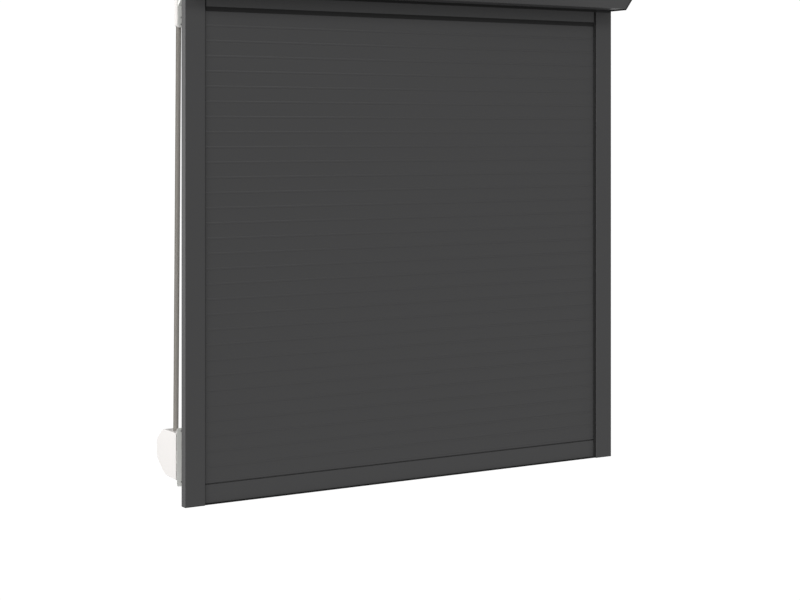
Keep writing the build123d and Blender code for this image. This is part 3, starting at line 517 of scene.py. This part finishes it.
# An open outline with its inner corners rounded. Each arc starts the radius over the tangent of
# half the corner's angle away from the corner, and passes it at the radius over its sine, less
# the radius.
def roundedLine(corners, radii):
    parts = [np.array([corners[0]])]
    for before, corner, after, radius in zip(corners, corners[1:], corners[2:], radii):
        before, corner, after = (np.array(p, float) for p in (before, corner, after))
        back = (before - corner) / np.linalg.norm(before - corner)
        ahead = (after - corner) / np.linalg.norm(after - corner)
        half = math.acos(float(back @ ahead)) / 2
        inward = (back + ahead) / np.linalg.norm(back + ahead)
        reach = radius / math.tan(half)
        near = corner + inward * (radius / math.sin(half) - radius)
        parts.append(arc(corner + back * reach, near, corner + ahead * reach, 17))
    parts.append(np.array([corners[-1]]))
    return np.concatenate(parts)


# The same line with its straights cut into equal steps, none over the longest
def refine(line, longest):
    parts = []
    for a, b in zip(line, line[1:]):
        count = max(1, math.ceil(np.linalg.norm(b - a) / longest))
        parts.append(np.linspace(a, b, count + 1)[:-1])
    return np.concatenate(parts + [line[-1:]])


# Unit normals on the left side of the line: the step from the point before to the one after,
# turned by a quarter
def inwards(line, closed):
    if closed:
        step = np.roll(line, -1, 0) - np.roll(line, 1, 0)
    else:
        step = np.gradient(line, axis=0)
    normal = np.stack([-step[:, 1], step[:, 0]], -1)
    return normal / np.linalg.norm(normal, axis=1, keepdims=True)


# Give a skin its wall: the whole thickness inwards
def wallOf(piece, thickness):
    solid = piece.modifiers.new("wall", "SOLIDIFY")
    solid.thickness = thickness
    solid.offset = -1.0


case = {
    "x": -0.625, "half": 0.014, "rim": 0.0026, "wall": 0.0018, "step": 0.006,
    "top": 0.168, "slotY": (0.0872, 0.0926), "slotHalf": 0.0074,
    "corners": [
        (0.0586, 0.052), (0.12855, 0.055), (0.177, 0.092),
        (0.177, 0.139), (0.13855, 0.168), (0.0586, 0.168),
    ],
    "radii": [0.060, 0.030, 0.024, 0.036],  # of the four inner corners
}


# True for points in the slot of the belt: at the top face, between the slot's sides and ends
def inCaseSlot(x, y, z):
    low, high = case["slotY"]
    inside = (low < y) & (y < high) & (abs(x - case["x"]) < case["slotHalf"])
    return inside & (z > case["top"] - 0.0005)


# Outline in Y and Z, carried along X. Over the rim it moves in by the rim times (1 - cosine), while
# X goes out by the rim times the sine.
outline = roundedLine(case["corners"], case["radii"])
marks = np.array([[y, case["top"]] for y in case["slotY"][::-1]])
outline = refine(np.concatenate([outline[:-1], marks, outline[-1:]]), case["step"])
normal = inwards(outline, False)
normal[[0, -1]] = [[0, 1], [0, -1]]
turn = np.linspace(0, math.pi / 2, 7)
rimX = case["half"] - case["rim"] * (1 - np.sin(turn[::-1]))
rimIn = case["rim"] * (1 - np.cos(turn[::-1]))
rowX = np.concatenate([-rimX, [-case["slotHalf"], 0, case["slotHalf"]], rimX[::-1]])
rowIn = np.concatenate([rimIn, [0, 0, 0], rimIn[::-1]])
points = np.empty((len(rowX), len(outline), 3))
points[:, :, 0] = case["x"] + rowX[:, None]
points[:, :, 1:] = outline[None] + normal[None] * rowIn[:, None, None]
mesh = grid("winder_case_skin", points, caps=(True, True), without=inCaseSlot)
piece = place("winder_case_skin", mesh, materials["white"], "frame", 40.0)
wallOf(piece, case["wall"])
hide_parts("winder_case")

collar = {
    "half": (0.0088, 0.0042), "round": 0.0012, "rise": 0.0016, "wall": 0.0012, "edge": 0.0004,
    "mid": 0.0899, "foot": 0.1676,
}

# A rounded rectangle, row by row up the outside, over the wall and down the inside. Each row is
# the ring times (1 - inset over half width) along X and along Y.
half = np.array(collar["half"])
turn = np.linspace(0, math.pi / 2, 6)
quarter = np.stack([np.cos(turn), np.sin(turn)], -1) * collar["round"]
corner = half - collar["round"]
ring = np.concatenate([
    corner + quarter,
    corner * [-1, 1] + quarter[::-1] * [-1, 1],
    -corner - quarter,
    corner * [1, -1] + quarter[::-1] * [1, -1],
])
wall, rise, small = collar["wall"], collar["rise"], collar["edge"]
insets = np.array([0, 0, small, wall - small, wall, wall])
rises = np.array([0, rise - small, rise, rise, rise - small, 0])
points = np.empty((len(rises), len(ring), 3))
points[:, :, :2] = (case["x"], collar["mid"]) + ring[None] * (1 - insets[:, None, None] / half)
points[:, :, 2] = collar["foot"] + rises[:, None]
mesh = grid("winder_collar", points, closeRows=True, closeCols=True)
piece = place("winder_collar", mesh, materials["white"], "frame", 40.0)

guideCover = {
    "x": -0.625, "half": 0.009, "low": 1.167, "high": 1.240, "back": 0.0585, "front": 0.0765,
    "rim": 0.002, "wall": 0.0016, "slotY": (0.0702, 0.0745), "slotHalf": 0.0074, "slotTop": 1.171,
}


# True for points in the slot of the belt: at the low end, between the slot's sides and ends
def inGuideSlot(x, y, z):
    low, high = guideCover["slotY"]
    inside = (low < y) & (y < high) & (abs(x - guideCover["x"]) < guideCover["slotHalf"])
    return inside & (z < guideCover["slotTop"])


# Outline in X and Z, two half circles, carried along Y with the same rim; its back stays open
middle, radius = guideCover["x"], guideCover["half"]
turn = np.linspace(0, math.pi, 25)
lowEnd = np.stack([-radius * np.cos(turn), guideCover["low"] + radius * (1 - np.sin(turn))], -1)
highEnd = np.stack([radius * np.cos(turn), guideCover["high"] - radius * (1 - np.sin(turn))], -1)
outline = np.concatenate([lowEnd, highEnd])
normal = inwards(outline, True)
turn = np.linspace(0, math.pi / 2, 7)
rimY = guideCover["front"] - guideCover["rim"] * (1 - np.sin(turn))
rowY = np.concatenate([[guideCover["back"]], guideCover["slotY"], rimY])
rowIn = np.concatenate([[0, 0, 0], guideCover["rim"] * (1 - np.cos(turn))])
points = np.empty((len(rowY), len(outline), 3))
points[:, :, 1] = rowY[:, None]
points[:, :, [0, 2]] = outline[None] + normal[None] * rowIn[:, None, None]
points[:, :, 0] += middle
mesh = grid("guide_cover_skin", points, closeCols=True, caps=(False, True), without=inGuideSlot)
piece = place("guide_cover_skin", mesh, materials["white"], "frame", 40.0)
wallOf(piece, guideCover["wall"])
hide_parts("belt_guide_cover")
print("stage: mouldings")

# Screws of the plates and rivets of the box

screws = {
    "radius": 0.0036, "height": 0.002, "cross": 0.00045, "x": -0.625, "y": 0.0586,
    "heights": (0.047, 0.1725, 1.173, 1.190),
}
rivets = {"radius": 0.0032, "height": 0.0011, "x": (-0.6415, 0.6415), "y": (-0.036, -0.129), "z": 1.4119}


# A dome: its height times the root of (1 - share of the radius squared). A cross recess, three
# quarters deep, lies where a point is nearer to an arm's middle line than the cross's half width.
def head(name, radius, height, middle, outwards, crossHalf):
    around = np.linspace(0, math.tau, 49)[:-1]
    share = np.concatenate([np.linspace(0.02, 0.98, 22), [1.0, 1.0]])
    r = share[:, None] * radius
    x, y = r * np.cos(around)[None], r * np.sin(around)[None]
    z = height * np.sqrt(np.clip(1 - (r / radius) ** 2, 0, 1)) * np.ones_like(x)
    z[-1] = -0.0002  # the last ring sits a little in the plate
    arms = np.minimum(np.abs(x), np.abs(y)) - crossHalf
    reach = np.maximum(np.abs(x), np.abs(y)) - crossHalf * 5
    deep = np.clip(-np.maximum(arms, reach) / (crossHalf * 0.5), 0, 1)
    z = z - deep * height * 0.75
    out = Vector(outwards)
    side = out.orthogonal().normalized()
    other = out.cross(side)
    points = np.stack([x, y, z], -1) @ np.array([side, other, out]) + np.array(middle)
    mesh = grid(name, points, closeCols=True, caps=(True, True))
    piece = place(name, mesh, materials["zinc"], "frame", 50.0)


for number, height in enumerate(screws["heights"]):
    middle = (screws["x"], screws["y"], height)
    head(f"plate_screw_{number + 1}", screws["radius"], screws["height"], middle, (0, 1, 0), screws["cross"])
number = 0
for x in rivets["x"]:
    for y in rivets["y"]:
        number += 1
        head(f"box_rivet_{number}", rivets["radius"], rivets["height"], (x, y, rivets["z"]), (0, 0, 1), 0.0)
print("stage: screws")

# Floor, light and camera

studio = {
    "floorHalf": 9.0, "floorDrop": 0.03, "aim": (-0.3, 0, 0.7),
    "white": 1.04, "floorGlow": 0.66, "worldGlow": 0.40,  # seen by the camera, then cast on the part
}
view = {
    "from": (-2.391, -3.876, 0.9056), "azimuth": 31.35,
    "lens": 78.24, "sensor": 36.0, "shiftY": -0.20875, "far": 60.0,
}
lamps = {
    "high": {"kind": "AREA", "from": (0.5, -1.8, 2.4), "size": 0.5, "power": 7.0},
    "left": {"kind": "SUN", "from": (-4.0, -3.0, 2.8), "angle": 40.0, "power": 1.18},
    "side": {"kind": "SUN", "from": (-4.2, 0.4, 1.4), "angle": 30.0, "power": 1.05},
    "back": {"kind": "AREA", "from": (-3.8, 4.8, 0.8), "size": 4.5, "power": 75.0},
}


# Paper that glows white to the camera and gives less light to everything else
def paperMaterial(name, glowSeen, glowCast):
    material = bpy.data.materials.new(name)
    material.use_nodes = True
    tree = material.node_tree
    tree.nodes.clear()
    path = tree.nodes.new("ShaderNodeLightPath")
    level = tree.nodes.new("ShaderNodeMapRange")
    level.inputs["To Min"].default_value = glowCast
    level.inputs["To Max"].default_value = glowSeen
    tree.links.new(path.outputs["Is Camera Ray"], level.inputs["Value"])
    glow = tree.nodes.new("ShaderNodeEmission")
    tree.links.new(level.outputs["Result"], glow.inputs["Strength"])
    out = tree.nodes.new("ShaderNodeOutputMaterial")
    tree.links.new(glow.outputs[0], out.inputs["Surface"])
    return material


far = studio["floorHalf"]
floorMesh = bpy.data.meshes.new("floor")
floorMesh.from_pydata([(-far, -far, 0), (far, -far, 0), (far, far, 0), (-far, far, 0)], [], [(0, 1, 2, 3)])
floor = bpy.data.objects.new("floor", floorMesh)
scene.collection.objects.link(floor)
floor.location = (0, 0, -studio["floorDrop"])
floorMesh.materials.append(paperMaterial("white floor", studio["white"], studio["floorGlow"]))

for name, lamp in lamps.items():
    data = bpy.data.lights.new(name, lamp["kind"])
    data.energy = lamp["power"]
    if lamp["kind"] == "SUN":
        data.angle = math.radians(lamp["angle"])
    else:
        data.size = lamp["size"]
    light = bpy.data.objects.new(name, data)
    scene.collection.objects.link(light)
    light.location = lamp["from"]
    aim = Vector(studio["aim"]) - Vector(lamp["from"])
    light.rotation_euler = aim.to_track_quat("-Z", "Y").to_euler()

world = bpy.data.worlds.new("studio")
scene.world = world
world.use_nodes = True
tree = world.node_tree
around = tree.nodes["Background"]
around.inputs["Color"].default_value = (1, 1, 1, 1)
around.inputs["Strength"].default_value = studio["worldGlow"]
seen = tree.nodes.new("ShaderNodeBackground")
seen.inputs["Color"].default_value = (1, 1, 1, 1)
seen.inputs["Strength"].default_value = studio["white"]
path = tree.nodes.new("ShaderNodeLightPath")
mix = tree.nodes.new("ShaderNodeMixShader")
tree.links.new(path.outputs["Is Camera Ray"], mix.inputs[0])
tree.links.new(around.outputs[0], mix.inputs[1])
tree.links.new(seen.outputs[0], mix.inputs[2])
tree.links.new(mix.outputs[0], tree.nodes["World Output"].inputs["Surface"])

scene.view_settings.view_transform = "Standard"
lens = bpy.data.cameras.new("camera")
lens.sensor_width = view["sensor"]
lens.lens = view["lens"]
lens.shift_y = view["shiftY"]
lens.clip_end = view["far"]
camera = bpy.data.objects.new("camera", lens)
scene.collection.objects.link(camera)
camera.location = view["from"]
camera.rotation_euler = (math.pi / 2, 0, -math.radians(view["azimuth"]))
scene.camera = camera
print("stage: camera")
